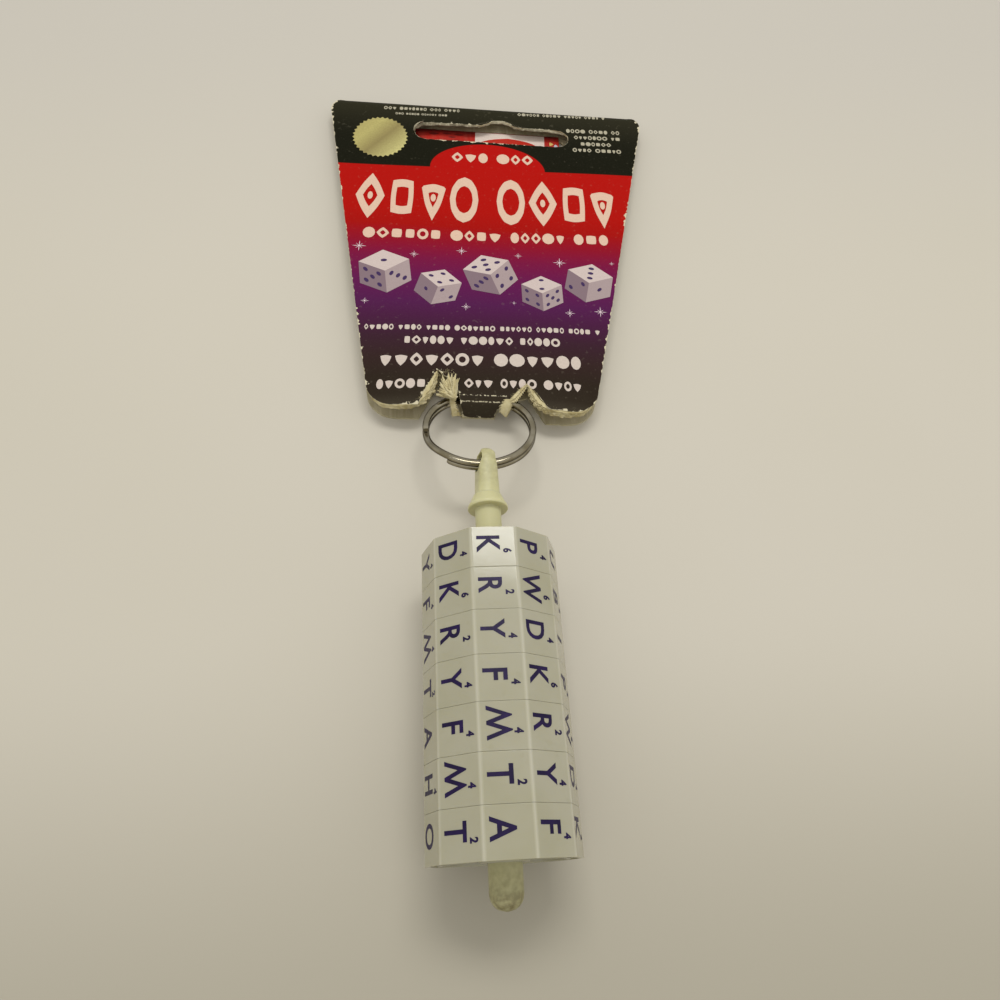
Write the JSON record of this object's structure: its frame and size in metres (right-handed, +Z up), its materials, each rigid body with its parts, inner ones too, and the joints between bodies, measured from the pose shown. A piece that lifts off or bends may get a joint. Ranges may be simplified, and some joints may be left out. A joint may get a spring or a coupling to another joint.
{
  "type": "key chain word game",
  "caption": "Key-chain word game: decagonal magnetic letter wheels that turn and slide on a moulded spindle, with a split ring and a folded card hang tag.",
  "frame": {"origin": "on the table, at the middle of the lowest facet of the middle wheel, under the spindle and at the middle of the wheel stack", "axes": "+Y along the spindle towards the split ring and hang tag, +Z up, +X to the right when the ring end points away"},
  "size_m": [0.0913, 0.2144, 0.0254],
  "materials": {
    "wheel_plastic": "moulded, slightly translucent off-white, printed letters",
    "cap_plastic": "moulded, satin off-white",
    "magnet": "sintered ferrite, dull dark grey",
    "spindle_plastic": "moulded, satin pale yellow-green",
    "nickel_wire": "nickel plated flat spring wire, lightly scratched",
    "printed_card": "glossy printed card, worn at the edges, kraft inside",
    "slip_paper": "printed paper slip, satin"
  },
  "bodies": {
    "spindle": {"spindle": "spindle_plastic"},
    "magnet_stack": {"wheel_1_magnet": "magnet", "wheel_2_magnet": "magnet", "wheel_3_magnet": "magnet", "wheel_4_magnet": "magnet", "wheel_5_magnet": "magnet", "wheel_6_magnet": "magnet", "wheel_7_magnet": "magnet"},
    "wheel_1": {"wheel_1_drum": "wheel_plastic", "wheel_1_cap": "cap_plastic"},
    "wheel_2": {"wheel_2_drum": "wheel_plastic", "wheel_2_cap": "cap_plastic"},
    "wheel_3": {"wheel_3_drum": "wheel_plastic", "wheel_3_cap": "cap_plastic"},
    "wheel_4": {"wheel_4_drum": "wheel_plastic", "wheel_4_cap": "cap_plastic"},
    "wheel_5": {"wheel_5_drum": "wheel_plastic", "wheel_5_cap": "cap_plastic"},
    "wheel_6": {"wheel_6_drum": "wheel_plastic", "wheel_6_cap": "cap_plastic"},
    "wheel_7": {"wheel_7_drum": "wheel_plastic", "wheel_7_cap": "cap_plastic"},
    "split_ring": {"split_ring": "nickel_wire"},
    "hang_tag": {"card_front_leaf": "printed_card", "card_back_leaf": "printed_card", "card_top_fold": "printed_card", "card_ring_spine": "printed_card"},
    "instruction_slip": {"instruction_slip": "slip_paper"}
  },
  "joints": [
    {"name": "stack_slide", "type": "slide", "parent": "spindle", "child": "magnet_stack", "axis": [0, 1, 0], "range_m": [-0.0635, 0.00975]},
    {"name": "wheel_1_spin", "type": "hinge", "parent": "magnet_stack", "child": "wheel_1", "pos_m": [0, 0.02385, 0.0127], "axis": [0, 1, 0], "continuous": true},
    {"name": "wheel_2_spin", "type": "hinge", "parent": "magnet_stack", "child": "wheel_2", "pos_m": [0, 0.0159, 0.0127], "axis": [0, 1, 0], "continuous": true},
    {"name": "wheel_3_spin", "type": "hinge", "parent": "magnet_stack", "child": "wheel_3", "pos_m": [0, 0.00795, 0.0127], "axis": [0, 1, 0], "continuous": true},
    {"name": "wheel_4_spin", "type": "hinge", "parent": "magnet_stack", "child": "wheel_4", "pos_m": [0, 0, 0.0127], "axis": [0, 1, 0], "continuous": true},
    {"name": "wheel_5_spin", "type": "hinge", "parent": "magnet_stack", "child": "wheel_5", "pos_m": [0, -0.00795, 0.0127], "axis": [0, 1, 0], "continuous": true},
    {"name": "wheel_6_spin", "type": "hinge", "parent": "magnet_stack", "child": "wheel_6", "pos_m": [0, -0.0159, 0.0127], "axis": [0, 1, 0], "continuous": true},
    {"name": "wheel_7_spin", "type": "hinge", "parent": "magnet_stack", "child": "wheel_7", "pos_m": [0, -0.02385, 0.0127], "axis": [0, 1, 0], "continuous": true},
    {"name": "ring_swing", "type": "hinge", "parent": "spindle", "child": "split_ring", "pos_m": [-0.0002, 0.04868, 0.01175], "axis": [1, 0, 0], "range_deg": [-70, 105]},
    {"name": "tag_swing", "type": "hinge", "parent": "split_ring", "child": "hang_tag", "pos_m": [-0.0002, 0.0714, 0.00436], "axis": [1, 0, 0], "range_deg": [-80, 12]},
    {"name": "slip_slide", "type": "slide", "parent": "hang_tag", "child": "instruction_slip", "axis": [0.0593, 0.9982, 0], "range_m": [-0.0085, 0.0055]}
  ]
}
